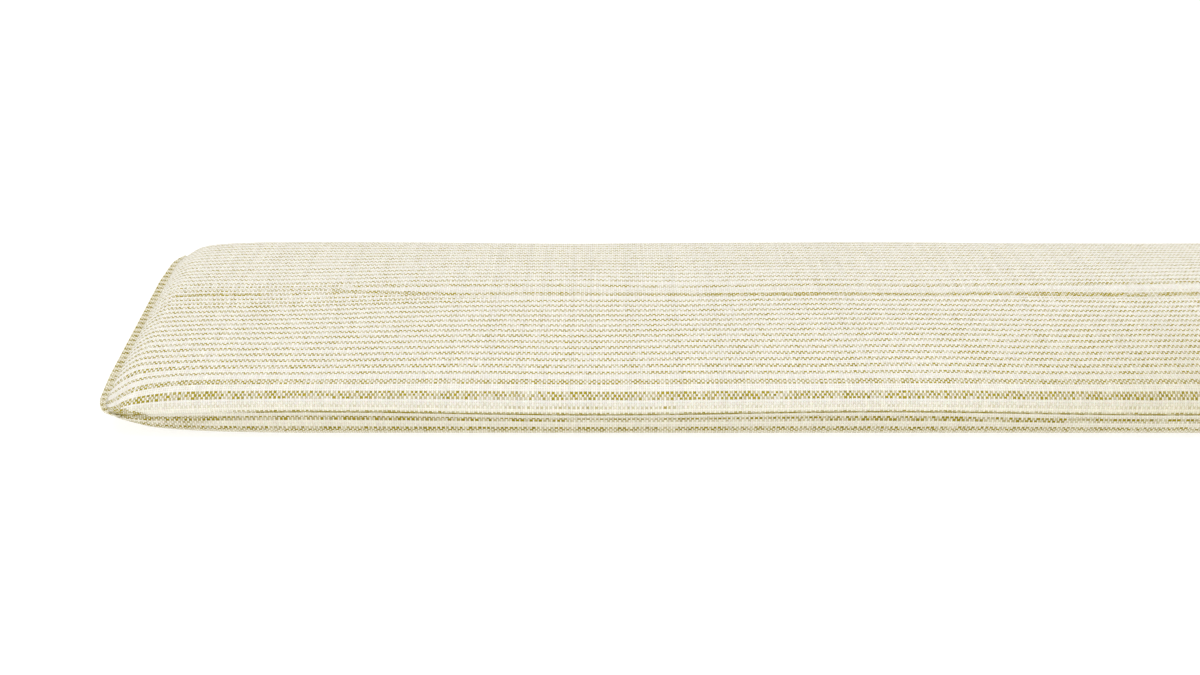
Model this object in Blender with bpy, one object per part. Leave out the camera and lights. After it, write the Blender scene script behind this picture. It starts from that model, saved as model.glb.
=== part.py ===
"""A long bench cushion lying on its back face.

Two panels of cloth meet in a seam at mid height that runs round a filled body.
A folded strip of the same cloth is sewn flat along the seam at each short end.
X runs along the length, the front long side faces -Y, and Z = 0 is the surface it lies on.
Panel positions (px, py) are those on the flat, square-cornered panel, centred on the origin.
"""

from collections import namedtuple
from math import cos, exp, hypot, pi, sin, sqrt

import bmesh
import bpy

# Driving dimensions, in metres.
LENGTH = 1.300  # between the two end seams
DEPTH = 0.380  # between the two long seams
CROWN_HEIGHT = 0.0595  # highest part of the top panel
SEAM_HEIGHT = 0.0300  # long seams, halfway along
CORNER_SEAM_HEIGHT = 0.0270  # the seam at the corners and the ends
SEAM_CLIMB = 0.045  # how slowly a long seam climbs from a corner to its full height
SEAM_THICKNESS = 0.0016  # two layers of cloth where the panels meet
CORNER_X = 0.022  # rounding of a corner of the panels, along the length
CORNER_Y = 0.038  # and across the depth
FRONT_EAR_X = 0.028  # the corners stay flat like ears: how slowly they fill along the length
BACK_EAR_X = 0.016
EAR_Y = 0.042  # how far in from the long sides an ear reaches
LOBE = 0.0028  # how far the panels swell out past the long seams
LOBE_REACH = 0.040  # and how far in from a long seam the cloth takes part in that

# How a panel rises from a side: a tight roll of cloth at the edge, then a slow swell.
Rise = namedtuple("Rise", "roll_share roll_reach roll_power swell_reach swell_power")
TOP_FRONT = Rise(0.79, 0.024, 2.5, 0.150, 2)
TOP_BACK = Rise(0.46, 0.024, 2.5, 0.185, 2)
TOP_END = Rise(0.82, 0.034, 1.55, 0.095, 2)
UNDER_SIDE = Rise(0.96, 0.015, 2.4, 0.022, 1)
UNDER_END = Rise(0.80, 0.052, 1.45, 0.200, 1.6)

# Slow waves of the seams and of the filling, and where a crest of each lies.
Wave = namedtuple("Wave", "height length_x length_y crest_x crest_y")
SEAM_WAVES = (Wave(0.0018, 0.570, None, -0.445, 0.0),)
TOP_WAVES = (
    Wave(0.0007, 0.430, 0.610, -0.310, -0.060),
    Wave(0.0005, 0.240, 0.330, 0.060, 0.040),
)

# The folded strips at the ends.
STRIP_WIDTH = 0.0102
STRIP_THICKNESS = 0.0026
STRIP_GAP = 0.0003  # between the seam and the strip
STRIP_TAPER = 0.042  # the strip narrows over this length towards each corner
STRIP_TIP_WIDTH = 0.0030

# A strip's section: shares of its width away from the seam, and of half its thickness up.
SectionCorner = namedtuple("SectionCorner", "out up")
STRIP_SECTION = (
    SectionCorner(0.00, -0.75),
    SectionCorner(0.10, -1.00),
    SectionCorner(0.78, -0.95),
    SectionCorner(0.95, -0.62),
    SectionCorner(1.00, 0.00),
    SectionCorner(0.95, 0.62),
    SectionCorner(0.78, 0.95),
    SectionCorner(0.10, 1.00),
    SectionCorner(0.00, 0.75),
)

# Fineness of the surfaces.
COLUMNS = 56
ROWS = 30
CROWDING = 0.90  # how much closer the grid lies at the edges than in the middle
STRIP_STATIONS = 44

# The under panel's rings, from the seam inwards. The last is the rim of its flat, which lies on
# the ground, and the one before it stands clear of the ground all round.
UnderRing = namedtuple("UnderRing", "from_end from_side")
UNDER_RINGS = (
    UnderRing(0.000, 0.0000),
    UnderRing(0.003, 0.0006),
    UnderRing(0.008, 0.0016),
    UnderRing(0.017, 0.0030),
    UnderRing(0.031, 0.0047),
    UnderRing(0.053, 0.0065),
    UnderRing(0.088, 0.0083),
    UnderRing(0.132, 0.0100),
    UnderRing(UNDER_END.swell_reach, UNDER_SIDE.swell_reach),
)

PANEL_COLOUR = (0.80, 0.77, 0.60)
STRIP_COLOUR = (0.72, 0.68, 0.46)
CLOTH_ROUGHNESS = 0.9


def wave_height(wave, x, y):
    along = cos(2 * pi * (x - wave.crest_x) / wave.length_x)
    across = cos(2 * pi * (y - wave.crest_y) / wave.length_y) if wave.length_y else 1
    return wave.height * along * across


def rise(shape, distance):
    """Share of the full height that a panel has reached at a distance from a side."""
    roll_left = 1 - min(distance / shape.roll_reach, 1)
    swell_left = 1 - min(distance / shape.swell_reach, 1)
    roll = (1 - roll_left**shape.roll_power) ** (1 / shape.roll_power)
    swell = 1 - swell_left**shape.swell_power
    return shape.roll_share * roll + (1 - shape.roll_share) * swell


def crowded(step, steps, span):
    """Place of one grid line of a centred span, with the lines closer at both edges."""
    t = step / steps
    return span * (t - CROWDING * sin(2 * pi * t) / (2 * pi)) - span / 2


def edge_distances(px, py):
    return LENGTH / 2 - abs(px), DEPTH / 2 - abs(py)


def rounded_plan(px, py):
    """Plan position of a panel point once the corners of the panel are rounded."""
    from_end, from_side = edge_distances(px, py)
    a = max(1 - from_end / CORNER_X, 0)
    b = max(1 - from_side / CORNER_Y, 0)
    if a > 0 and b > 0:
        from_end = CORNER_X * (1 - a * sqrt(1 - b * b / 2))
        from_side = CORNER_Y * (1 - b * sqrt(1 - a * a / 2))
    x = (LENGTH / 2 - from_end) * (1 if px > 0 else -1)
    y = (DEPTH / 2 - from_side) * (1 if py > 0 else -1)
    return x, y


def ear_factor(px, py):
    """Less than one near a corner, where the panels lie flat on each other."""
    from_end, from_side = edge_distances(px, py)
    ear_x = FRONT_EAR_X if py < 0 else BACK_EAR_X
    return 1 - exp(-from_end / ear_x) * exp(-((from_side / EAR_Y) ** 3))


def seam_height(px, py):
    """Height of the seam beside a panel point."""
    from_end, _ = edge_distances(px, py)
    waves = sum(wave_height(wave, px, py) for wave in SEAM_WAVES)
    climb = SEAM_HEIGHT - CORNER_SEAM_HEIGHT + waves
    return CORNER_SEAM_HEIGHT + climb * (1 - exp(-from_end / SEAM_CLIMB))


def swollen(x, y, py, side_share, end_share):
    """The long sides of a panel stand out past their seam, most at half of their height."""
    _, from_side = edge_distances(0, py)
    near_seam = max(1 - from_side / LOBE_REACH, 0)
    out = LOBE * sin(pi * min(side_share, 1)) * near_seam * end_share
    return x, y + out * (1 if y > 0 else -1)


def top_point(px, py):
    from_end, from_side = edge_distances(px, py)
    side_shape = TOP_FRONT if py < 0 else TOP_BACK
    end_share = rise(TOP_END, from_end)
    side_share = rise(side_shape, from_side)
    share = side_share * end_share * ear_factor(px, py)
    base = seam_height(px, py) + SEAM_THICKNESS / 2
    full = CROWN_HEIGHT + sum(wave_height(wave, px, py) for wave in TOP_WAVES)
    x, y = rounded_plan(px, py)
    x, y = swollen(x, y, py, side_share / side_shape.roll_share, end_share)
    return x, y, base + (full - base) * share


def under_point(px, py):
    from_end, from_side = edge_distances(px, py)
    end_share = rise(UNDER_END, from_end)
    side_share = rise(UNDER_SIDE, from_side)
    share = side_share * end_share * ear_factor(px, py)
    base = seam_height(px, py) - SEAM_THICKNESS / 2
    x, y = rounded_plan(px, py)
    x, y = swollen(x, y, py, side_share, end_share)
    return x, y, base * (1 - share)


def border_cells():
    """Grid steps once round the border of a panel, from the front left corner."""
    front = [(i, 0) for i in range(COLUMNS)]
    right = [(COLUMNS, j) for j in range(ROWS)]
    back = [(i, ROWS) for i in range(COLUMNS, 0, -1)]
    left = [(0, j) for j in range(ROWS, 0, -1)]
    return front + right + back + left


def grid_point(cell):
    return crowded(cell[0], COLUMNS, LENGTH), crowded(cell[1], ROWS, DEPTH)


def bridge(bm, first, second):
    """A band of faces between two rings of points."""
    count = len(first)
    for k in range(count):
        after = (k + 1) % count
        bm.faces.new((first[k], first[after], second[after], second[k]))


def build_cushion():
    """The filled body: a gridded top panel, and an under panel in rings round its flat."""
    bm = bmesh.new()
    top = {}
    for i in range(COLUMNS + 1):
        for j in range(ROWS + 1):
            top[i, j] = bm.verts.new(top_point(*grid_point((i, j))))
    for i in range(COLUMNS):
        for j in range(ROWS):
            bm.faces.new((top[i, j], top[i + 1, j], top[i + 1, j + 1], top[i, j + 1]))

    border = border_cells()
    ring = [top[cell] for cell in border]
    for inset in UNDER_RINGS:
        shrink_x = 1 - 2 * inset.from_end / LENGTH
        shrink_y = 1 - 2 * inset.from_side / DEPTH
        lower = []
        for cell in border:
            px, py = grid_point(cell)
            lower.append(bm.verts.new(under_point(px * shrink_x, py * shrink_y)))
        bridge(bm, lower, ring)
        ring = lower
    for rim_point in ring:
        rim_point.co.z = 0
    bm.faces.new(reversed(ring))
    return bm


def strip_width(py):
    """The strip keeps its width along the end and narrows round each corner."""
    _, from_side = edge_distances(0, py)
    left = 1 - min(from_side / STRIP_TAPER, 1)
    return STRIP_TIP_WIDTH + (STRIP_WIDTH - STRIP_TIP_WIDTH) * sqrt(1 - left**2)


def strip_corners(side, step):
    """Corners of the strip's section at one station along the end seam."""
    probe = DEPTH / 1000
    limit = DEPTH / 2 - probe
    px = side * LENGTH / 2
    py = min(max(crowded(step, STRIP_STATIONS, DEPTH), -limit), limit)
    before_x, before_y = rounded_plan(px, py - probe)
    after_x, after_y = rounded_plan(px, py + probe)
    run = hypot(after_x - before_x, after_y - before_y)
    out_x = side * (after_y - before_y) / run
    out_y = -side * (after_x - before_x) / run
    x, y = rounded_plan(px, py)
    z = seam_height(px, py)
    points = []
    for corner in STRIP_SECTION:
        reach = STRIP_GAP + strip_width(py) * corner.out
        lift = STRIP_THICKNESS / 2 * corner.up
        points.append((x + out_x * reach, y + out_y * reach, z + lift))
    return points


def build_strip(side):
    bm = bmesh.new()
    sections = []
    for step in range(STRIP_STATIONS + 1):
        sections.append([bm.verts.new(p) for p in strip_corners(side, step)])
    for first, second in zip(sections, sections[1:]):
        bridge(bm, first, second)
    bm.faces.new(sections[0])
    bm.faces.new(sections[-1])
    bmesh.ops.recalc_face_normals(bm, faces=bm.faces)
    return bm


def cloth_material(name, colour):
    material = bpy.data.materials.new(name)
    material.use_nodes = True
    shader = material.node_tree.nodes["Principled BSDF"]
    shader.inputs["Base Color"].default_value = (*colour, 1)
    shader.inputs["Roughness"].default_value = CLOTH_ROUGHNESS
    shader.inputs["Metallic"].default_value = 0
    return material


def add_object(name, bm, material, sharp_angle):
    mesh = bpy.data.meshes.new(name)
    bm.to_mesh(mesh)
    bm.free()
    mesh.materials.append(material)
    mesh.shade_smooth()
    mesh.set_sharp_from_angle(angle=sharp_angle)
    obj = bpy.data.objects.new(name, mesh)
    bpy.context.scene.collection.objects.link(obj)


def main():
    for old in list(bpy.data.objects):
        bpy.data.objects.remove(old, do_unlink=True)
    panel_cloth = cloth_material("striped_cloth", PANEL_COLOUR)
    strip_cloth = cloth_material("strip_cloth", STRIP_COLOUR)
    add_object("cushion", build_cushion(), panel_cloth, pi / 3)
    add_object("end_strip_left", build_strip(-1), strip_cloth, pi / 4)
    add_object("end_strip_right", build_strip(1), strip_cloth, pi / 4)


main()
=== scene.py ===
"""Looks of a long bench cushion: a filled body in plain-woven cloth with olive stripes.

The cover is one closed surface. Each row of its faces is one weft yarn of the cloth, counted
from the front seam to the back seam, and a chart says how much olive each yarn carries where.
The sizes and the shape formulas are those of the solid cushion, in metres in the same frame.
Panel positions (px, py) are those on the flat, square-cornered panel, centred on the origin.
"""

from collections import namedtuple
from math import pi, radians

import bpy
import numpy as np
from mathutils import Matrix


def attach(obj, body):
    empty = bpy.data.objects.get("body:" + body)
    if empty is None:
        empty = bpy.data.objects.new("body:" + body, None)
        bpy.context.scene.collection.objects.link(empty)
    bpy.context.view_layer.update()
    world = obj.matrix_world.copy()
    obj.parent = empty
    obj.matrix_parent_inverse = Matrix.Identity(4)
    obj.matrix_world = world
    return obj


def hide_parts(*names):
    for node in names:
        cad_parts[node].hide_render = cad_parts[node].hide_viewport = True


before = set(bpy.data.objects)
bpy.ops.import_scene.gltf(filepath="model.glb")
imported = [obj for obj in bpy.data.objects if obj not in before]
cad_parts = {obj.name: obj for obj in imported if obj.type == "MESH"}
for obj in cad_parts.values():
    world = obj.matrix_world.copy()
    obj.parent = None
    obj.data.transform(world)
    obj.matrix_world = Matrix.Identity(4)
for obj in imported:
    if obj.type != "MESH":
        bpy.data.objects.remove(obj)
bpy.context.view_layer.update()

# ---------------------------------------------------------------- sizes of the solid cushion
LENGTH = 1.300
DEPTH = 0.380
CROWN_HEIGHT = 0.0595
SEAM_HEIGHT = 0.0300
CORNER_SEAM_HEIGHT = 0.0270
SEAM_CLIMB = 0.045
SEAM_THICKNESS = 0.0016
CORNER_X = 0.022
CORNER_Y = 0.038
FRONT_EAR_X = 0.028
BACK_EAR_X = 0.016
EAR_Y = 0.042
LOBE = 0.0013
LOBE_REACH = 0.040

Rise = namedtuple("Rise", "roll_share roll_reach roll_power swell_reach swell_power")
TOP_FRONT = Rise(0.79, 0.024, 2.5, 0.150, 2)
TOP_BACK = Rise(0.46, 0.024, 2.5, 0.185, 2)
TOP_END = Rise(0.82, 0.034, 1.55, 0.095, 2)
UNDER_SIDE = Rise(0.96, 0.015, 2.4, 0.022, 1)
UNDER_END = Rise(0.80, 0.052, 1.45, 0.200, 1.6)

Wave = namedtuple("Wave", "height length_x length_y crest_x crest_y")
SEAM_WAVES = (Wave(0.0018, 0.570, None, -0.445, 0.0),)
TOP_WAVES = (
    Wave(0.0007, 0.430, 0.610, -0.310, -0.060),
    Wave(0.0005, 0.240, 0.330, 0.060, 0.040),
)

STRIP_THICKNESS = 0.0026
STRIP_WRAP = 0.0219  # how far each strip runs on round its front corner

# Width of a strip by distance along it from its front end.
StripWidth = namedtuple("StripWidth", "along width")
STRIP_WIDTHS = (
    StripWidth(0.000, 0.0020),
    StripWidth(0.012, 0.0030),
    StripWidth(0.022, 0.0055),
    StripWidth(0.045, 0.0075),
    StripWidth(0.090, 0.0100),
    StripWidth(0.310, 0.0105),
    StripWidth(0.360, 0.0070),
    StripWidth(0.380, 0.0035),
)

# ---------------------------------------------------------------- fineness of the visible pieces
COLUMNS = 300
WEFT_ROWS = 156  # of each panel
CROWDING = 0.55  # how much closer the columns lie at the ends than in the middle
ARC_STEPS = 4000  # into which a line across a panel is cut to measure it
END_GROOVE = 0.0022  # how deep the seam between the panels is drawn in at the ends
SIDE_GROOVE = 0.0005  # and along the long sides
GROOVE_CHANGE = 0.030  # over what length it changes from one to the other

# ---------------------------------------------------------------- the cloth
WARP_PITCH = 0.00224
SEED = 7
SLOW_WAVER = 0.05  # how far neighbouring rows wander together, in rows
SLOW_REACH = 0.045  # over what length
SLOW_TOGETHER = 6  # and how many rows together
QUICK_WAVER = 0.05  # how far each row wanders by itself
QUICK_REACH = 0.012
STEADY_ROWS = 6  # so many rows from a seam the wandering is full
BAND_SOFTNESS = 0.8  # of the edges of an accent, in rows
STRIPE_ROWS = 2  # how many rows wide each stripe of a block is

# How strongly the dye of each yarn comes and goes, and over what length.
DyeFade = namedtuple("DyeFade", "strength reach")
DYE_FADES = (DyeFade(0.14, 0.03), DyeFade(0.05, 0.20))

# Where the weft rows of the top panel lie halfway along: arc length from the front seam.
RowPlace = namedtuple("RowPlace", "row arc")
TOP_ROW_PLACES = (
    RowPlace(0, 0.0),
    RowPlace(2, 0.0040),
    RowPlace(8, 0.0215),
    RowPlace(14, 0.0390),
    RowPlace(19.5, 0.0515),
    RowPlace(23.5, 0.0655),
    RowPlace(43.5, 0.1265),
    RowPlace(71.5, 0.2055),
    RowPlace(88.5, 0.2555),
    RowPlace(104.5, 0.2955),
    RowPlace(136.5, 0.3685),
)
UNDER_ROW_PLACES = (
    RowPlace(0, 0.0),
    RowPlace(3, 0.0070),
    RowPlace(7, 0.0190),
)

# How many rows the stripes lie nearer to the front than halfway along, to the nearest half: in
# the middle and at the end of the front block, and at the start and further on of the back block.
Drift = namedtuple("Drift", "from_left middle front_end back_start far")
DRIFTS = (
    Drift(0.07, 3.0, 6.0, 3.0, 4.5),
    Drift(0.22, 1.5, 4.5, 2.5, 3.0),
    Drift(0.33, 1.5, 2.0, 0.0, 0.0),
    Drift(0.60, 0.0, 0.0, 0.0, 0.0),
    Drift(0.93, 0.0, 0.5, -0.5, 0.0),
    Drift(1.12, 0.5, 2.0, -1.5, -2.0),
)
DRIFT_ROWS = (("middle", 43.5), ("front_end", 71.5), ("back_start", 88.5), ("far", 104.5))
STEADY_ROW = 8.0  # up to here, and at the back seam, the rows lie where they do halfway along

# Stripes: olive rows (first to last) that repeat every so many rows.
Block = namedtuple("Block", "first last period phase olive")
TOP_BLOCKS = (
    Block(18, 73, 4, 3, 1.00),
    Block(87, WEFT_ROWS, 4, 0, 0.76),
)
UNDER_BLOCKS = (Block(9, WEFT_ROWS, 4, 2, 0.60),)

# Single accents: a band of rows about a centre that wanders along the length, seen between
# two places and fading over a stretch at each. lift brings the weft over the warp.
Accent = namedtuple("Accent", "centre half_width olive lift start end fade")
EVERYWHERE = 9.0
TOP_ACCENTS = (
    Accent(0.0, 0.5, 0.65, 0.25, 0.12, EVERYWHERE, 0.04),
    Accent(3.0, 0.5, 0.55, 0.10, 0.39, 0.57, 0.02),
    Accent(3.5, 1.0, 0.18, 0.00, -EVERYWHERE, EVERYWHERE, 0.02),
    Accent(3.2, 0.5, 0.34, 0.00, 0.06, EVERYWHERE, 0.06),
    Accent(7.0, 1.5, 1.00, 0.12, -EVERYWHERE, EVERYWHERE, 0.02),
    Accent(7.0, 1.5, 1.00, 0.25, -EVERYWHERE, 0.14, 0.10),
    Accent(13.0, 1.5, 0.94, 0.04, -EVERYWHERE, EVERYWHERE, 0.02),
    Accent(13.0, 1.5, 1.00, 0.18, -EVERYWHERE, 0.14, 0.10),
    Accent(74.3, 0.7, 1.00, 0.04, -EVERYWHERE, 0.37, 0.06),
    Accent(74.3, 0.7, 0.45, 0.00, 0.94, EVERYWHERE, 0.06),
    Accent(77.2, 0.7, 1.00, 0.04, -EVERYWHERE, 0.31, 0.03),
    Accent(80.5, 0.7, 1.00, 0.04, -EVERYWHERE, 0.215, 0.01),
    Accent(80.5, 1.0, 1.00, 0.42, 0.029, 0.130, 0.01),
    Accent(80.0, 1.0, 0.30, 0.00, 0.330, EVERYWHERE, 0.10),
    Accent(83.4, 0.7, 1.00, 0.04, -EVERYWHERE, 0.215, 0.01),
    Accent(85.9, 0.7, 1.00, 0.04, -EVERYWHERE, 0.215, 0.01),
)
UNDER_ACCENTS = (
    Accent(6.7, 1.4, 1.00, 0.26, -EVERYWHERE, EVERYWHERE, 0.02),
    # painted shadow: a weak olive band darkens the bottom edge of the under panel, where the contact
    # shadow falls
    Accent(8.7, 1.2, 0.25, 0.00, -EVERYWHERE, EVERYWHERE, 0.02),
    Accent(6.5, 1.6, 1.00, 0.30, 0.030, 0.100, 0.03),
)

# The two accents of the back block wander across the rows.
Wander = namedtuple("Wander", "from_left centre")
NEAR_ACCENT_PATH = (
    Wander(0.215, 81.5),
    Wander(0.330, 77.5),
    Wander(0.600, 76.5),
    Wander(0.710, 76.0),
    Wander(1.000, 77.0),
)
FAR_ACCENT_PATH = (
    Wander(0.215, 85.5),
    Wander(0.330, 84.5),
    Wander(0.550, 83.5),
    Wander(0.900, 84.0),
    Wander(1.080, 85.5),
)
# Near the left corner a dark crease runs down the top panel into the seam.
CREASE_PATH = (Wander(0.010, 3.0), Wander(0.030, 1.5), Wander(0.042, 0.0))
TOP_PATH_ACCENTS = (
    (NEAR_ACCENT_PATH, Accent(0, 1.2, 1.00, 0.26, 0.205, EVERYWHERE, 0.02)),
    (NEAR_ACCENT_PATH, Accent(0, 1.4, 1.00, 0.40, 0.560, EVERYWHERE, 0.12)),
    (FAR_ACCENT_PATH, Accent(0, 1.2, 0.95, 0.12, 0.22, EVERYWHERE, 0.02)),
    (CREASE_PATH, Accent(0, 1.6, 1.00, 0.45, -EVERYWHERE, 0.044, 0.01)),
    (CREASE_PATH, Accent(0, 3.0, 1.00, 0.35, 0.010, 0.030, 0.01)),
)

# The dark band under the front seam climbs into the seam near the corner, and it thins to one
# row of the cloth twice along the length.
DARK_BAND_PATH = (Wander(0.014, 0.5), Wander(0.036, 1.0), Wander(0.066, 2.5))
THIN_BAND_PATH = (Wander(0.000, 2.0),)
UNDER_PATH_ACCENTS = (
    (DARK_BAND_PATH, Accent(0, 1.15, 1.00, 0.36, 0.034, 0.470, 0.02)),
    (DARK_BAND_PATH, Accent(0, 1.6, 1.00, 0.40, 0.014, 0.110, 0.02)),
    (DARK_BAND_PATH, Accent(0, 2.4, 1.00, 0.34, 0.012, 0.050, 0.01)),
    (THIN_BAND_PATH, Accent(0, 0.9, 1.00, 0.34, 0.450, 0.730, 0.03)),
    (DARK_BAND_PATH, Accent(0, 1.0, 0.55, 0.00, 0.450, 0.730, 0.03)),
    (DARK_BAND_PATH, Accent(0, 1.15, 1.00, 0.36, 0.700, 0.960, 0.04)),
    (THIN_BAND_PATH, Accent(0, 0.9, 1.00, 0.44, 0.940, EVERYWHERE, 0.03)),
    (DARK_BAND_PATH, Accent(0, 1.0, 0.45, 0.00, 0.940, EVERYWHERE, 0.03)),
)

# The yarn in the seam itself.
SEAM_LIFT = 0.7
SEAM_FRONT = 0.004  # how far behind the front seam's line a point still lies along the front
SeamStretch = namedtuple("SeamStretch", "start end fade")
SEAM_STRETCHES = (SeamStretch(0.014, 0.046, 0.01), SeamStretch(0.140, EVERYWHERE, 0.04))

# How many rows the bands under the front seam lie nearer to the seam than their own rows.
UnderDrift = namedtuple("UnderDrift", "from_left dark_band low_band")
UNDER_DRIFTS = (
    UnderDrift(0.05, 0.0, -0.5),
    UnderDrift(0.20, 0.5, -0.5),
    UnderDrift(0.45, 0.5, 0.0),
    UnderDrift(0.65, 0.0, 0.0),
    UnderDrift(0.80, 0.0, -0.5),
    UnderDrift(0.95, -0.5, 0.0),
)
UNDER_FIRST_ROW = 1000  # the rows of the under panel count from here, those of the strips
STRIP_FIRST_ROW = 3000  # from here
DARK_BAND_ROW = 2.5
LOW_BAND_ROW = 6.5
DRIFT_FADE_ROWS = 8.0

STRIP_ROW_PITCH = 0.00241
STRIP_BLOCK = Block(0, 999, 4, 0, 1.00)
STRIP_PAINTED_SHADE = 0.42  # olive share between the stripes of a strip, painted shade that darkens the whole strip
STRIP_LIFT = 0.42
STRIP_SEAM_FADE = (0.10, 0.20)  # where a strip's colour begins to show, and over what share
STRIP_FOLD_FADE = (0.97, 0.12)  # where it has gone at the fold
STRIP_LEAST = 0.15  # what shows of it at the seam

# ---------------------------------------------------------------- colours, linear
CREAM = (0.768, 0.752, 0.700)
CREAM_WARM = (0.745, 0.714, 0.622)
CREAM_PAINTED_LIGHT = (0.845, 0.815, 0.700)  # painted light brightens the top panel just above the front seam
CREAM_PAINTED_SHADE = (0.755, 0.721, 0.600)  # painted shade: darker, warmer cream of the under panel and the strips
DYED_PAINTED_SHADE = (0.82, 0.80, 0.60)  # painted shade: how much darker their dyed yarns are
RIGHT_PAINTED_SHADE = (0.88, 0.86, 0.76)  # painted shade on the top panel's front part near the right end
OLIVE = (0.330, 0.262, 0.012)
GOLD = (0.410, 0.300, 0.015)
MOSS = (0.190, 0.162, 0.020)
# painted shade of the crevices between the yarns
CREVICE_PAINTED_SHADE = (0.76, 0.71, 0.58)
FLOOR_COLOUR = (0.42, 0.42, 0.42)
FLOOR_GLOW = 0.70
FLOOR_HALF = 8.0
FLOOR_LEVEL = -0.0004

# ---------------------------------------------------------------- light and camera
# Wide, soft sources: the key from above, the fill from the front.
Sun = namedtuple("Sun", "name strength spread elevation turn")
SUNS = (
    Sun("key", 1.38, 50.0, 88.0, -25.0),
    Sun("fill", 0.50, 60.0, 6.0, -10.0),
)
PHOTO_WIDTH = 1200
FOCAL_PIXELS = 1657
SENSOR_WIDTH = 36.0
CAMERA_PLACE = (-0.1560, -1.5946, 0.8613)
CAMERA_PITCH = 28.0
SKY_STRENGTH = 0.83


def wave_height(wave, px, py):
    along = np.cos(2 * pi * (px - wave.crest_x) / wave.length_x)
    across = np.cos(2 * pi * (py - wave.crest_y) / wave.length_y) if wave.length_y else 1
    return wave.height * along * across


def rise(shape, distance):
    """Share of the full height that a panel has reached at a distance from a side."""
    roll_left = 1 - np.minimum(distance / shape.roll_reach, 1)
    swell_left = 1 - np.minimum(distance / shape.swell_reach, 1)
    roll = (1 - roll_left**shape.roll_power) ** (1 / shape.roll_power)
    swell = 1 - swell_left**shape.swell_power
    return shape.roll_share * roll + (1 - shape.roll_share) * swell


def edge_distances(px, py):
    return np.maximum(LENGTH / 2 - abs(px), 0), np.maximum(DEPTH / 2 - abs(py), 0)


def rounded_plan(px, py):
    """Plan position of a panel point once the corners of the panel are rounded."""
    from_end, from_side = edge_distances(px, py)
    a = np.maximum(1 - from_end / CORNER_X, 0)
    b = np.maximum(1 - from_side / CORNER_Y, 0)
    corner = (a > 0) & (b > 0)
    from_end = np.where(corner, CORNER_X * (1 - a * np.sqrt(1 - b * b / 2)), from_end)
    from_side = np.where(corner, CORNER_Y * (1 - b * np.sqrt(1 - a * a / 2)), from_side)
    x = (LENGTH / 2 - from_end) * np.where(px > 0, 1, -1)
    y = (DEPTH / 2 - from_side) * np.where(py > 0, 1, -1)
    return x, y


def ear_factor(px, py):
    """Less than one near a corner, where the panels lie flat on each other."""
    from_end, from_side = edge_distances(px, py)
    ear_x = np.where(py < 0, FRONT_EAR_X, BACK_EAR_X)
    return 1 - np.exp(-from_end / ear_x) * np.exp(-((from_side / EAR_Y) ** 3))


def seam_height(px, py):
    from_end, _ = edge_distances(px, py)
    waves = sum(wave_height(wave, px, py) for wave in SEAM_WAVES)
    climb = SEAM_HEIGHT - CORNER_SEAM_HEIGHT + waves
    return CORNER_SEAM_HEIGHT + climb * (1 - np.exp(-from_end / SEAM_CLIMB))


def swollen(x, y, py, side_share, end_share):
    """The long sides of a panel stand out past their seam, most at half of their height."""
    _, from_side = edge_distances(0, py)
    near_seam = np.maximum(1 - from_side / LOBE_REACH, 0)
    out = LOBE * np.sin(pi * np.minimum(side_share, 1)) * near_seam * end_share
    return x, y + out * np.where(y > 0, 1, -1)


def top_points(px, py):
    from_end, from_side = edge_distances(px, py)
    end_share = rise(TOP_END, from_end)
    front, back = rise(TOP_FRONT, from_side), rise(TOP_BACK, from_side)
    side_share = np.where(py < 0, front, back)
    roll_share = np.where(py < 0, TOP_FRONT.roll_share, TOP_BACK.roll_share)
    share = side_share * end_share * ear_factor(px, py)
    base = seam_height(px, py) + SEAM_THICKNESS / 2
    full = CROWN_HEIGHT + sum(wave_height(wave, px, py) for wave in TOP_WAVES)
    x, y = rounded_plan(px, py)
    x, y = swollen(x, y, py, side_share / roll_share, end_share)
    return np.stack([x, y, base + (full - base) * share], axis=-1)


def under_points(px, py):
    from_end, from_side = edge_distances(px, py)
    end_share = rise(UNDER_END, from_end)
    side_share = rise(UNDER_SIDE, from_side)
    share = side_share * end_share * ear_factor(px, py)
    base = seam_height(px, py) - SEAM_THICKNESS / 2
    x, y = rounded_plan(px, py)
    x, y = swollen(x, y, py, side_share, end_share)
    return np.stack([x, y, base * (1 - share)], axis=-1)


def crowded(steps, span):
    """Places of the lines of a centred span, with the lines closer at both edges."""
    t = np.linspace(0, 1, steps + 1)
    return span * (t - CROWDING * np.sin(2 * pi * t) / (2 * pi)) - span / 2


def arc_lengths(points):
    """Distance along a line of points from its first point to each of them."""
    steps = np.linalg.norm(np.diff(points, axis=0), axis=-1)
    return np.concatenate([[0], np.cumsum(steps)])


def panel_arcs(panel_points, along_x):
    """Panel positions across the middle of a panel, and the arc length to each of them."""
    span = LENGTH if along_x else DEPTH
    places = crowded(ARC_STEPS, span)
    zeros = np.zeros_like(places)
    points = panel_points(places, zeros) if along_x else panel_points(zeros, places)
    return places, arc_lengths(points)


def read_off(table, field, px):
    """A column of a table by distance from the left end, read off at the places px."""
    places = [entry.from_left - LENGTH / 2 for entry in table]
    return np.interp(px, places, [getattr(entry, field) for entry in table])


def row_drift(px, rows):
    """How many rows nearer to the front each row lies than halfway along."""
    known = [(STEADY_ROW, 0 * px)]
    known += [(row, read_off(DRIFTS, field, px)) for field, row in DRIFT_ROWS]
    known += [(WEFT_ROWS, 0 * px)]
    drift = np.zeros((len(px), rows.size))
    for (row, here), (next_row, there) in zip(known, known[1:]):
        share = np.clip((rows - row) / (next_row - row), 0, 1)
        drift = drift + (there - here)[:, None] * share
    return drift


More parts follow.
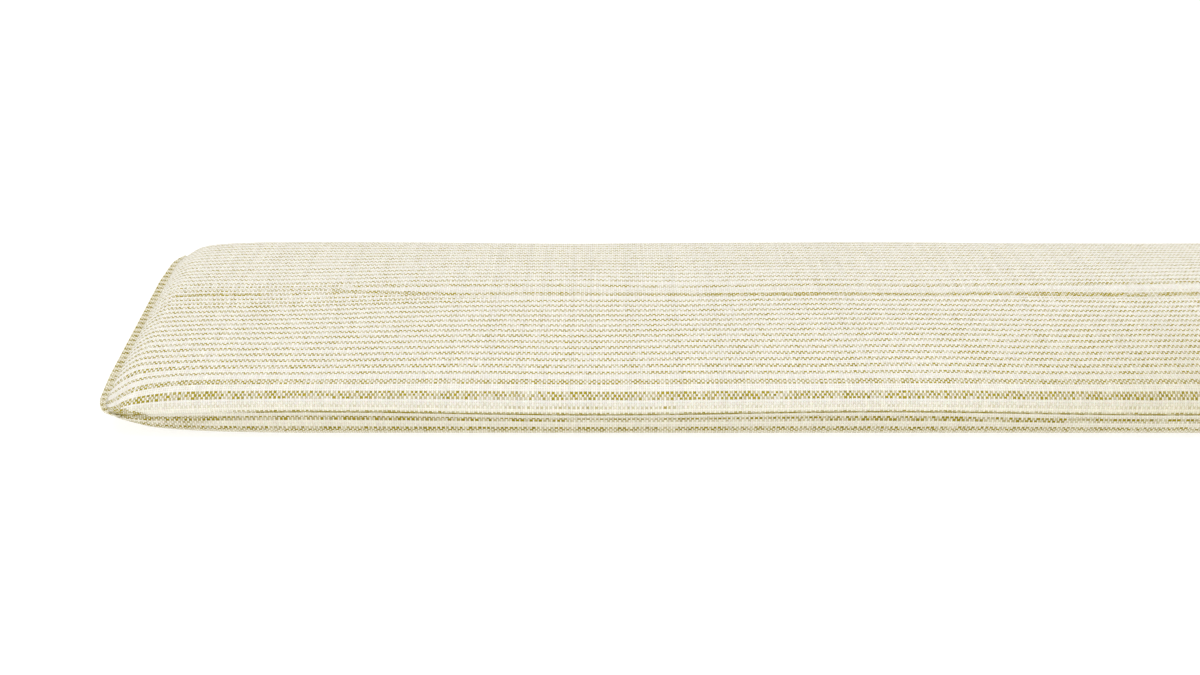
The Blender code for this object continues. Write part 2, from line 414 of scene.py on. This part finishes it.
def under_drift(px, rows):
    """The same for the under panel, whose first rows wander by themselves."""
    dark = read_off(UNDER_DRIFTS, "dark_band", px)[:, None]
    low = read_off(UNDER_DRIFTS, "low_band", px)[:, None]
    to_dark = np.clip(rows / DARK_BAND_ROW, 0, 1)
    to_low = np.clip((rows - DARK_BAND_ROW) / (LOW_BAND_ROW - DARK_BAND_ROW), 0, 1)
    to_rest = np.clip((rows - LOW_BAND_ROW) / DRIFT_FADE_ROWS, 0, 1)
    return dark * to_dark + (low - dark) * to_low - low * to_rest


def along_yarns(random, px, yarns, reach, together=1):
    """Smooth random numbers about zero along each yarn, changing over the distance reach.

    together is the number of neighbouring yarns over which they change.
    """
    knots = np.arange(px[0] - reach, px[-1] + 2 * reach, reach)
    values = random.normal(size=(yarns // together + 2, len(knots)))
    lines = np.stack([np.interp(px, knots, line) for line in values], axis=1)
    places = np.arange(yarns) / together
    return np.stack([np.interp(places, np.arange(len(values)), line) for line in lines])


def waver(random, px):
    """How far each row line wanders from its place, in rows; none at the seams."""
    count = WEFT_ROWS + 1
    slow = SLOW_WAVER * along_yarns(random, px, count, SLOW_REACH, SLOW_TOGETHER)
    quick = QUICK_WAVER * along_yarns(random, px, count, QUICK_REACH)
    from_seam = np.minimum(np.arange(count), np.arange(count)[::-1])
    return (slow + quick) * np.minimum(from_seam / STEADY_ROWS, 1)


def row_lines(panel_points, row_places, drift_of, random):
    """py of the line before each weft row, and of the last seam, at every column."""
    places, arcs = panel_arcs(panel_points, along_x=False)
    known_rows = [place.row for place in row_places] + [WEFT_ROWS - 0.5]
    known_arcs = [place.arc for place in row_places] + [arcs[-1]]
    lines = np.arange(WEFT_ROWS + 1) - 0.5
    px = crowded(COLUMNS, LENGTH)
    rows = lines[None, :] - drift_of(px, lines[None, :]) + waver(random, px)
    py = np.interp(np.interp(rows, known_rows, known_arcs), arcs, places)
    return px, py


def window(values, centre, half_width, softness):
    """One inside a band and zero outside it, with soft edges."""
    distance = abs(values - centre) - half_width
    return np.clip(0.5 - distance / softness, 0, 1)


def stretch(px, accent):
    """One between the ends of an accent, fading at both."""
    from_left = px + LENGTH / 2
    after_start = np.clip((from_left - accent.start) / accent.fade + 0.5, 0, 1)
    before_end = np.clip((accent.end - from_left) / accent.fade + 0.5, 0, 1)
    return after_start * before_end


def in_stripe(rows, block):
    return (rows - block.phase) % block.period < STRIPE_ROWS


def charted(px, blocks, accents, path_accents):
    """Olive share and lift of the weft over the warp for every column and row of a panel."""
    rows = np.arange(WEFT_ROWS)[None, :]
    olive = np.zeros((len(px), WEFT_ROWS))
    lift = np.zeros_like(olive)
    for block in blocks:
        inside = (rows >= block.first) & (rows <= block.last)
        olive = np.maximum(olive, block.olive * (inside & in_stripe(rows, block)))
    placed = [(np.full(len(px), accent.centre), accent) for accent in accents]
    for path, accent in path_accents:
        placed.append((read_off(path, "centre", px), accent))
    for centres, accent in placed:
        share = window(rows, centres[:, None], accent.half_width, BAND_SOFTNESS)
        share = share * stretch(px, accent)[:, None]
        olive = np.maximum(olive, accent.olive * share)
        lift = np.maximum(lift, accent.lift * share)
    return olive, lift


class Surface:
    """Points, faces and cloth values of one piece, gathered part by part."""

    def __init__(self):
        self.points, self.threads, self.maps = [], [], []
        self.faces, self.face_threads, self.face_maps = [], [], []
        self.olive, self.lift = [], []
        self.count = 0

    def add_points(self, points, threads, maps):
        first = self.count
        self.points.append(points.reshape(-1, 3))
        self.threads.append(threads.reshape(-1, 2))
        self.maps.append(maps.reshape(-1, 2))
        self.count += self.points[-1].shape[0]
        return first

    def add_faces(self, faces, olive, lift, threads=None, maps=None):
        """Faces by point numbers; the cloth values of their corners if not those of the points."""
        corners = faces.reshape(-1)
        if threads is None:
            threads = np.concatenate(self.threads)[corners]
            maps = np.concatenate(self.maps)[corners]
        self.faces.append(faces.reshape(-1, 4))
        self.face_threads.append(threads.reshape(-1, 2))
        self.face_maps.append(maps.reshape(-1, 2))
        self.olive.append(np.broadcast_to(olive, faces.shape[:-1]).ravel())
        self.lift.append(np.broadcast_to(lift, faces.shape[:-1]).ravel())

    def object(self, name, material):
        points = np.concatenate(self.points)
        faces = np.concatenate(self.faces)
        mesh = bpy.data.meshes.new(name)
        mesh.from_pydata(points.tolist(), [], faces.tolist())
        mesh.materials.append(material)
        threads = np.concatenate(self.face_threads)
        cloth = np.column_stack([threads, np.zeros(len(threads))])
        self.store(mesh, "cloth", "FLOAT_VECTOR", "CORNER", "vector", cloth)
        self.store(mesh, "olive", "FLOAT", "FACE", "value", np.concatenate(self.olive))
        self.store(mesh, "lift", "FLOAT", "FACE", "value", np.concatenate(self.lift))
        layer = mesh.uv_layers.new(name="OFBake")
        corners = np.concatenate(self.face_maps)
        layer.uv.foreach_set("vector", corners.astype(np.float32).ravel())
        mesh.shade_smooth()
        obj = bpy.data.objects.new(name, mesh)
        bpy.context.scene.collection.objects.link(obj)
        return obj

    @staticmethod
    def store(mesh, name, kind, domain, field, values):
        attribute = mesh.attributes.new(name, kind, domain)
        attribute.data.foreach_set(field, values.astype(np.float32).ravel())


Panel = namedtuple("Panel", "first points threads maps")


def grid_faces(first, columns, rows, upward):
    """Corner numbers of the faces of a grid of points, row by row within each column."""
    i, j = np.meshgrid(np.arange(columns), np.arange(rows), indexing="ij")
    here = first + i * (rows + 1) + j
    after = here + rows + 1
    corners = (here, after, after + 1, here + 1) if upward else (here, here + 1, after + 1, after)
    return np.stack(corners, axis=-1)


def border(first, columns, rows):
    """Point numbers once round the border of a grid, from the front left corner."""
    number = first + np.arange((columns + 1) * (rows + 1)).reshape(columns + 1, rows + 1)
    parts = (number[:-1, 0], number[-1, :-1], number[:0:-1, -1], number[0, :0:-1])
    return np.concatenate(parts)


def add_panel(surface, panel_points, row_places, drift_of, chart, upward, row_offset, map_band):
    random = np.random.default_rng(SEED + row_offset)
    px, py = row_lines(panel_points, row_places, drift_of, random)
    places, arcs = panel_arcs(panel_points, along_x=True)
    columns = np.interp(px, places, arcs) / WARP_PITCH
    rows = np.arange(WEFT_ROWS + 1) - 0.5 + row_offset
    px_grid = np.broadcast_to(px[:, None], py.shape)
    threads = np.stack(np.broadcast_arrays(columns[:, None], rows[None, :]), axis=-1)
    u = (px_grid / LENGTH + 0.5) * 0.99 + 0.005
    v = np.broadcast_to(np.linspace(*map_band, WEFT_ROWS + 1), py.shape)
    points = panel_points(px_grid, py)
    maps = np.stack([u, v], axis=-1)
    first = surface.add_points(points, threads, maps)
    middles = (px[:-1] + px[1:]) / 2
    olive, lift = charted(middles, *chart)
    strength = 1
    for fade in DYE_FADES:
        strength = strength + fade.strength * along_yarns(random, middles, WEFT_ROWS, fade.reach)
    olive = np.clip(olive * strength, 0, 1)
    surface.add_faces(grid_faces(first, COLUMNS, WEFT_ROWS, upward), olive, lift)
    return Panel(first, points.reshape(-1, 3), threads.reshape(-1, 2), maps.reshape(-1, 2))


def outward_threads():
    """Which way the cloth runs out over the border: front, right, back, left."""
    ways = (((0, -0.5), COLUMNS), ((0.2, 0), WEFT_ROWS), ((0, 0.5), COLUMNS), ((-0.2, 0), WEFT_ROWS))
    return np.concatenate([np.tile(way, (count, 1)) for way, count in ways])


def seam_accent(points):
    """Olive share of the seam yarn, which is seen along the front only."""
    at_front = points[:, 1] < -DEPTH / 2 + SEAM_FRONT
    return sum(stretch(points[:, 0], part) for part in SEAM_STRETCHES) * at_front


def add_seam(surface, top, under):
    """The seam between the panels: a shallow groove round the whole cushion."""
    upper = border(top.first, COLUMNS, WEFT_ROWS)
    lower = border(under.first, COLUMNS, WEFT_ROWS)
    top_edge, under_edge = upper - top.first, lower - under.first
    middle = (top.points[top_edge] + under.points[under_edge]) / 2
    along = np.roll(middle, -1, axis=0) - np.roll(middle, 1, axis=0)
    inward = np.stack([-along[:, 1], along[:, 0]], axis=1)
    inward /= np.linalg.norm(inward, axis=1)[:, None]
    from_end = LENGTH / 2 - abs(middle[:, :1])
    depth = END_GROOVE + (SIDE_GROOVE - END_GROOVE) * np.clip(from_end / GROOVE_CHANGE, 0, 1)
    middle[:, :2] += depth * inward
    share = np.linspace(0.005, 0.995, len(upper) + 1)
    no_threads = np.zeros((len(upper), 2))
    first = surface.add_points(middle, no_threads, no_threads)
    groove = first + np.arange(len(upper))
    accent = seam_accent(middle)
    sides = (
        (top, upper, top_edge, 0.503, accent, True),
        (under, lower, under_edge, 0.497, accent, False),
    )
    for panel, edge, number, far_v, olive, above in sides:
        edge_threads = panel.threads[number]
        groove_threads = edge_threads + outward_threads()
        outer, inner = (groove, edge) if above else (edge, groove)
        outer_v, inner_v = (0.5, far_v) if above else (far_v, 0.5)
        outer_t, inner_t = (
            (groove_threads, edge_threads) if above else (edge_threads, groove_threads)
        )
        after = np.roll(np.arange(len(edge)), -1)
        faces = np.stack([outer, outer[after], inner[after], inner], axis=1)
        threads = np.stack([outer_t, outer_t[after], inner_t[after], inner_t], axis=1)
        u = np.stack([share[:-1], share[1:], share[1:], share[:-1]], axis=1)
        v = np.broadcast_to([outer_v, outer_v, inner_v, inner_v], u.shape)
        lift = SEAM_LIFT * olive
        surface.add_faces(faces, olive, lift, threads, np.stack([u, v], axis=-1))


def build_cover(material):
    surface = Surface()
    top_chart = (TOP_BLOCKS, TOP_ACCENTS, TOP_PATH_ACCENTS)
    under_chart = (UNDER_BLOCKS, UNDER_ACCENTS, UNDER_PATH_ACCENTS)
    top = add_panel(
        surface, top_points, TOP_ROW_PLACES, row_drift, top_chart, True, 0, (0.510, 0.995)
    )
    under = add_panel(
        surface, under_points, UNDER_ROW_PLACES, under_drift, under_chart, False,
        UNDER_FIRST_ROW, (0.490, 0.005),
    )
    add_seam(surface, top, under)
    return surface.object("cushion_cover", material)


# ---------------------------------------------------------------- strips

STRIP_AROUND = 28
STRIP_STEPS = 6000  # into which the line of a strip is cut to measure it
STRIP_BACK_END = 0.998  # a strip ends at this share of the way to the back seam
STRIP_TUCK = 0.6  # share of the groove's depth that a strip is tucked in
FULL_THICKNESS_WIDTH = 0.006  # narrower than this, a strip is thinner too
STRIP_COLUMNS_APART = 3000  # keeps the yarn numbers of the two strips apart

# The section of a strip is a squared oval, thinner from the seam to where its fold begins.
SQUARENESS_ACROSS = 0.5
SQUARENESS_UP = 0.45
SEWN_THICKNESS = 0.62
FOLD_BEGIN = 0.55
FOLD_RAMP = 0.35


def strip_section():
    """Section of a flat-folded strip: shares of its width out, and of half its thickness up."""
    turn = np.linspace(0, 2 * pi, STRIP_AROUND, endpoint=False)
    out = 0.5 - 0.5 * np.sign(np.cos(turn)) * abs(np.cos(turn)) ** SQUARENESS_ACROSS
    up = np.sign(np.sin(turn)) * abs(np.sin(turn)) ** SQUARENESS_UP
    folded = np.clip((out - FOLD_BEGIN) / FOLD_RAMP, 0, 1)
    return out, up * (SEWN_THICKNESS + (1 - SEWN_THICKNESS) * folded)


def strip_line(side, along):
    """Panel places and plan positions of the line on which a strip is sewn."""
    px = side * (LENGTH / 2 - np.maximum(-along - DEPTH / 2, 0))
    py = np.clip(along, -DEPTH / 2, DEPTH / 2)
    return px, py, np.stack(rounded_plan(px, py), axis=1)


def strip_chart(count, out):
    """Olive share of the faces of a strip, which fades at its fold and at the seam."""
    number = np.arange(count)[:, None]
    middle = (out + np.roll(out, -1))[None, :] / 2
    begin, ramp = STRIP_SEAM_FADE
    shown = np.clip((middle - begin) / ramp, STRIP_LEAST, 1)
    end, ramp = STRIP_FOLD_FADE
    shown = shown * np.clip((end - middle) / ramp, 0, 1)
    striped = in_stripe(number, STRIP_BLOCK)
    # painted shade: olive between the stripes darkens the strip
    return np.where(striped, STRIP_BLOCK.olive, STRIP_PAINTED_SHADE) * shown, STRIP_LIFT * striped * shown


def build_strip(name, side, material):
    fine = np.linspace(-DEPTH / 2 - STRIP_WRAP, DEPTH / 2 * STRIP_BACK_END, STRIP_STEPS)
    _, _, line = strip_line(side, fine)
    arcs = arc_lengths(line)
    count = int(arcs[-1] / STRIP_ROW_PITCH)
    distance = np.linspace(0, arcs[-1], count + 1)
    along = np.interp(distance, arcs, fine)
    px, py, seam_line = strip_line(side, along)
    probe = DEPTH / 4000
    run = strip_line(side, along + probe)[2] - strip_line(side, along - probe)[2]
    run /= np.linalg.norm(run, axis=1)[:, None]
    outward = side * np.stack([run[:, 1], -run[:, 0]], axis=1)
    widths = np.interp(distance, *zip(*STRIP_WIDTHS))
    out, up = strip_section()
    tuck = END_GROOVE * STRIP_TUCK
    reach = out[None, :] * (widths + tuck)[:, None] - tuck
    half_thick = STRIP_THICKNESS / 2 * np.minimum(widths / FULL_THICKNESS_WIDTH, 1)
    points = np.zeros((count + 1, STRIP_AROUND, 3))
    points[..., :2] = seam_line[:, None, :] + outward[:, None, :] * reach[..., None]
    points[..., 2] = seam_height(px, py)[:, None] + half_thick[:, None] * up[None, :]
    around = arc_lengths(points[count // 2])
    columns = np.append(around, around[-1] + 0.001) / WARP_PITCH + STRIP_COLUMNS_APART * (1 + side)
    rows = np.arange(count + 1) - 0.5 + STRIP_FIRST_ROW
    surface = Surface()
    closed = np.concatenate([points, points[:, :1]], axis=1)
    threads = np.stack(np.broadcast_arrays(columns[None, :], rows[:, None]), axis=-1)
    u = np.broadcast_to(np.linspace(0.01, 0.99, count + 1)[:, None], closed.shape[:2])
    v = np.broadcast_to(np.linspace(0.01, 0.99, STRIP_AROUND + 1)[None, :], closed.shape[:2])
    first = surface.add_points(closed, threads, np.stack([u, v], axis=-1))
    olive, lift = strip_chart(count, out)
    surface.add_faces(grid_faces(first, count, STRIP_AROUND, side > 0), olive, lift)
    return surface.object(name, material)


# ---------------------------------------------------------------- cloth material


class Nodes:
    """Short calls that add shader nodes and link numbers or sockets into them."""

    def __init__(self, material):
        material.use_nodes = True
        self.tree = material.node_tree
        self.tree.nodes.clear()

    def add(self, kind, inputs=(), **settings):
        node = self.tree.nodes.new(kind)
        for name, value in settings.items():
            setattr(node, name, value)
        for slot, value in dict(inputs).items():
            self.plug(node.inputs[slot], value)
        return node

    def plug(self, socket, value):
        if isinstance(value, bpy.types.NodeSocket):
            self.tree.links.new(value, socket)
        elif value is not None:
            socket.default_value = value

    def math(self, operation, a, b=None, c=None):
        inputs = {k: v for k, v in enumerate((a, b, c)) if v is not None}
        return self.add("ShaderNodeMath", inputs, operation=operation).outputs[0]

    def vector(self, x=0.0, y=0.0, z=0.0):
        return self.add("ShaderNodeCombineXYZ", {0: x, 1: y, 2: z}).outputs[0]

    def spread(self, value, low, high, new_low=0.0, new_high=1.0):
        inputs = {0: value, 1: low, 2: high, 3: new_low, 4: new_high}
        return self.add("ShaderNodeMapRange", inputs).outputs[0]

    def mix(self, share, a, b, blend="MIX"):
        inputs = {0: share, 6: a, 7: b}
        node = self.add("ShaderNodeMix", inputs, data_type="RGBA", blend_type=blend)
        return node.outputs[2]

    def noise(self, vector, scale, detail=2.0, roughness=0.5):
        inputs = {"Vector": vector, "Scale": scale, "Detail": detail, "Roughness": roughness}
        return self.add("ShaderNodeTexNoise", inputs).outputs["Fac"]

    def white_noise(self, vector):
        return self.add("ShaderNodeTexWhiteNoise", {"Vector": vector}).outputs["Value"]

    def attribute(self, name, output):
        node = self.add("ShaderNodeAttribute", attribute_name=name)
        return node.outputs[output]


def colour(values):
    return (*values, 1.0)


YARN_WAVE = 0.25  # how far a yarn rises and dips, in units of relief
YARN_ROUND = 2.4  # and how steeply its sides fall away
RELIEF = 0.00045  # one unit of relief
WANDER_OF_WARP = 1.0
UNEVEN_FLOATS = 0.20  # how unevenly long the floats of the weft are
DYE_STRENGTH = (0.55, 1.30)  # how weak and how strong the dye of a float can be
PATCH_STRENGTH = (0.84, 1.14)  # and that of a patch of floats in a row
YARN_BRIGHTNESS = (0.960, 1.02)  # of the darkest and the brightest warp yarn
CROSSING_BRIGHTNESS = 0.06  # by which crossings differ
PAINTED_LIGHT_ROW = 2.0  # painted light makes the top panel paler from the front seam to this row
PAINTED_LIGHT_END_ROW = 5.0  # and the painted light is gone from this one on
RIGHT_SHADE_COLUMNS = (0.83 / WARP_PITCH, 1.15 / WARP_PITCH)  # where the painted shade at the right end begins and is full
RIGHT_SHADE_ROWS = (75.0, 10.0)  # the same, across the rows


def thread_parts(nodes, place):
    """Number of the nearest thread, offset from its middle, and -1 or 1 for odd and even."""
    number = nodes.math("ROUND", place)
    offset = nodes.math("SUBTRACT", place, number)
    odd = nodes.math("FLOORED_MODULO", number, 2.0)
    sign = nodes.math("MULTIPLY_ADD", odd, -2.0, 1.0)
    return number, offset, sign


def yarn_height(nodes, along, number, offset, sign, dips):
    """Height of a yarn that waves over and under the crossing yarns and is unevenly thick."""
    wave = nodes.math("COSINE", nodes.math("MULTIPLY", along, pi))
    wave = nodes.math("MULTIPLY", nodes.math("MULTIPLY", wave, sign), YARN_WAVE * dips)
    slubs = nodes.noise(nodes.vector(nodes.math("MULTIPLY", along, 0.22), number, dips), 1.0, 1.0)
    steepness = nodes.spread(slubs, 0.30, 0.70, -1.5 * YARN_ROUND, -0.6 * YARN_ROUND)
    fall = nodes.math("MULTIPLY", nodes.math("MULTIPLY", offset, offset), steepness)
    return nodes.math("ADD", wave, fall)


def nearest_float(nodes, column, row_sign):
    """Number of the warp yarn over which the nearest float of this row lies."""
    parity = nodes.math("MULTIPLY_ADD", row_sign, -0.5, 0.5)
    half = nodes.math("MULTIPLY", nodes.math("SUBTRACT", column, parity), 0.5)
    return nodes.math("MULTIPLY_ADD", nodes.math("ROUND", half), 2.0, parity)


def cloth_material(name):
    """Plain weave: cream warp, and weft that is cream or olive as the chart says."""
    material = bpy.data.materials.new(name)
    nodes = Nodes(material)
    cloth = nodes.attribute("cloth", "Vector")
    axes = nodes.add("ShaderNodeSeparateXYZ", {0: cloth}).outputs
    row = axes[1]
    olive = nodes.attribute("olive", "Fac")
    lift = nodes.attribute("lift", "Fac")

    # The warp yarns are unevenly spaced and wander a little.
    slow_row = nodes.math("MULTIPLY", row, 0.045)
    wander = nodes.noise(nodes.vector(nodes.math("MULTIPLY", axes[0], 0.55), slow_row, 5.0), 1.0, 1.0)
    wander = nodes.math("SUBTRACT", wander, 0.5)
    column = nodes.math("MULTIPLY_ADD", wander, WANDER_OF_WARP, axes[0])

    column_number, across_warp, column_sign = thread_parts(nodes, column)
    row_number, across_weft, row_sign = thread_parts(nodes, row)
    float_number = nearest_float(nodes, column, row_sign)
    size_chance = nodes.white_noise(nodes.vector(float_number, row_number, 4.0))
    dye_chance = nodes.white_noise(nodes.vector(float_number, row_number, 3.0))
    lift = nodes.math("MULTIPLY_ADD", size_chance, UNEVEN_FLOATS, lift)
    lift = nodes.math("SUBTRACT", lift, UNEVEN_FLOATS / 2)
    weft = yarn_height(nodes, column, row_number, across_weft, row_sign, 1)
    weft = nodes.math("ADD", weft, lift)
    warp = yarn_height(nodes, row, column_number, across_warp, column_sign, -1)
    height = nodes.math("MAXIMUM", weft, warp)
    weft_shows = nodes.spread(nodes.math("SUBTRACT", weft, warp), -0.04, 0.04)

    # Each float of a yarn takes the dye a little differently.
    slow_column = nodes.math("MULTIPLY", column, 0.12)
    patch = nodes.noise(nodes.vector(slow_column, row_number), 1.0, 2.0)
    strength = nodes.spread(dye_chance, 0.0, 1.0, *DYE_STRENGTH)
    strength = nodes.math("MULTIPLY", strength, nodes.spread(patch, 0.35, 0.65, *PATCH_STRENGTH))
    strength = nodes.math("MULTIPLY", strength, olive)
    strength = nodes.math("MULTIPLY", strength, weft_shows)
    strength = nodes.math("MINIMUM", strength, 1.0)
    hue = nodes.noise(nodes.vector(nodes.math("MULTIPLY", column, 0.9), row_number, 9.0), 1.0, 1.0)
    dyed = nodes.mix(nodes.spread(hue, 0.50, 0.72), colour(OLIVE), colour(GOLD))
    dyed = nodes.mix(nodes.spread(hue, 0.48, 0.28), dyed, colour(MOSS))

    # The undyed yarns differ a little in tone, and every crossing by itself.
    tone = nodes.noise(cloth, 0.35, 3.0)
    cream = nodes.mix(nodes.spread(tone, 0.35, 0.75), colour(CREAM), colour(CREAM_WARM))
    # painted light: paler cream on the top panel's first rows by the front seam
    cream = nodes.mix(nodes.spread(row, PAINTED_LIGHT_END_ROW, PAINTED_LIGHT_ROW), cream, colour(CREAM_PAINTED_LIGHT))
    # painted shade: the under panel and the strips are darker than the top panel
    under_painted_shade = nodes.spread(row, UNDER_FIRST_ROW - 2, UNDER_FIRST_ROW - 1)
    cream = nodes.mix(under_painted_shade, cream, colour(CREAM_PAINTED_SHADE))
    dyed = nodes.mix(under_painted_shade, dyed, colour(DYED_PAINTED_SHADE), "MULTIPLY")
    base = nodes.mix(strength, cream, dyed)
    # painted shade: the top panel's front part is darker near the right end
    right_shade = nodes.math("MULTIPLY", nodes.spread(column, *RIGHT_SHADE_COLUMNS), nodes.spread(row, *RIGHT_SHADE_ROWS))
    base = nodes.mix(right_shade, base, colour(RIGHT_PAINTED_SHADE), "MULTIPLY")
    yarn_chance = nodes.white_noise(nodes.vector(column_number, 0.0, 7.0))
    cross_chance = nodes.white_noise(nodes.vector(column_number, row_number, 8.0))
    brightness = nodes.spread(yarn_chance, 0.0, 1.0, *YARN_BRIGHTNESS)
    brightness = nodes.math("ADD", brightness, -CROSSING_BRIGHTNESS / 2)
    brightness = nodes.math("MULTIPLY_ADD", cross_chance, CROSSING_BRIGHTNESS, brightness)
    base = nodes.mix(1.0, base, nodes.vector(brightness, brightness, brightness), "MULTIPLY")
    specks = nodes.add("ShaderNodeTexNoise", {"Vector": cloth, "Scale": 1.4, "Detail": 1.0})
    specks = nodes.mix(0.10, colour((0.5, 0.5, 0.5)), specks.outputs["Color"])
    base = nodes.mix(1.0, base, nodes.mix(1.0, specks, specks, "ADD"), "MULTIPLY")
    # painted shade: darker, warmer colour in the crevices between the yarns, where the relief is low
    crevice_unshaded = nodes.spread(height, -0.60, 0.0)
    base = nodes.mix(1.0, base, nodes.mix(crevice_unshaded, colour(CREVICE_PAINTED_SHADE), colour((1, 1, 1))), "MULTIPLY")

    fine_place = nodes.vector(nodes.math("MULTIPLY", column, 6.0), nodes.math("MULTIPLY", row, 6.0))
    fibres = nodes.noise(fine_place, 1.0, 2.0)
    relief = nodes.math("MULTIPLY_ADD", fibres, 0.12, height)
    bump = nodes.add("ShaderNodeBump", {"Height": relief, "Distance": RELIEF, "Strength": 1.0})
    shader = nodes.add(
        "ShaderNodeBsdfPrincipled",
        {
            "Base Color": base,
            "Roughness": 0.88,
            "Normal": bump.outputs[0],
            "Sheen Weight": 0.04,
            "Sheen Roughness": 0.5,
            "Specular IOR Level": 0.20,
        },
    )
    nodes.add("ShaderNodeOutputMaterial", {"Surface": shader.outputs[0]})
    return material


# ---------------------------------------------------------------- stage, light and camera


def build_floor():
    mesh = bpy.data.meshes.new("floor")
    half, level = FLOOR_HALF, FLOOR_LEVEL
    corners = [(-half, -half, level), (half, -half, level), (half, half, level), (-half, half, level)]
    mesh.from_pydata(corners, [], [(0, 1, 2, 3)])
    material = bpy.data.materials.new("floor")
    material.use_nodes = True
    shader = material.node_tree.nodes["Principled BSDF"]
    shader.inputs["Base Color"].default_value = colour(FLOOR_COLOUR)
    shader.inputs["Roughness"].default_value = 0.9
    shader.inputs["Specular IOR Level"].default_value = 0.1
    shader.inputs["Emission Color"].default_value = (1.0, 1.0, 1.0, 1.0)
    shader.inputs["Emission Strength"].default_value = FLOOR_GLOW
    mesh.materials.append(material)
    floor = bpy.data.objects.new("floor", mesh)
    bpy.context.scene.collection.objects.link(floor)


def build_world():
    world = bpy.data.worlds.new("studio")
    world.use_nodes = True
    background = world.node_tree.nodes["Background"]
    background.inputs["Color"].default_value = (1.0, 1.0, 1.0, 1.0)
    background.inputs["Strength"].default_value = SKY_STRENGTH
    bpy.context.scene.world = world


def build_suns():
    for sun in SUNS:
        light = bpy.data.lights.new(sun.name, "SUN")
        light.energy = sun.strength
        light.angle = radians(sun.spread)
        source = bpy.data.objects.new(sun.name, light)
        source.rotation_euler = (radians(90 - sun.elevation), 0, radians(sun.turn))
        bpy.context.scene.collection.objects.link(source)


def build_camera():
    data = bpy.data.cameras.new("camera")
    data.sensor_width = SENSOR_WIDTH
    data.lens = SENSOR_WIDTH * FOCAL_PIXELS / PHOTO_WIDTH
    camera = bpy.data.objects.new("camera", data)
    camera.location = CAMERA_PLACE
    camera.rotation_euler = (radians(90 - CAMERA_PITCH), 0, 0)
    bpy.context.scene.collection.objects.link(camera)
    bpy.context.scene.camera = camera


def main():
    bpy.context.scene.view_settings.view_transform = "Standard"
    cloth = cloth_material("striped_cloth")
    cover = build_cover(cloth)
    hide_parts("cushion")
    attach(cover, "root")
    for name, side in (("end_strip_left", -1), ("end_strip_right", 1)):
        strip = build_strip(name + "_cloth", side, cloth)
        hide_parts(name)
        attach(strip, "root")
    build_floor()
    build_world()
    build_suns()
    build_camera()


main()
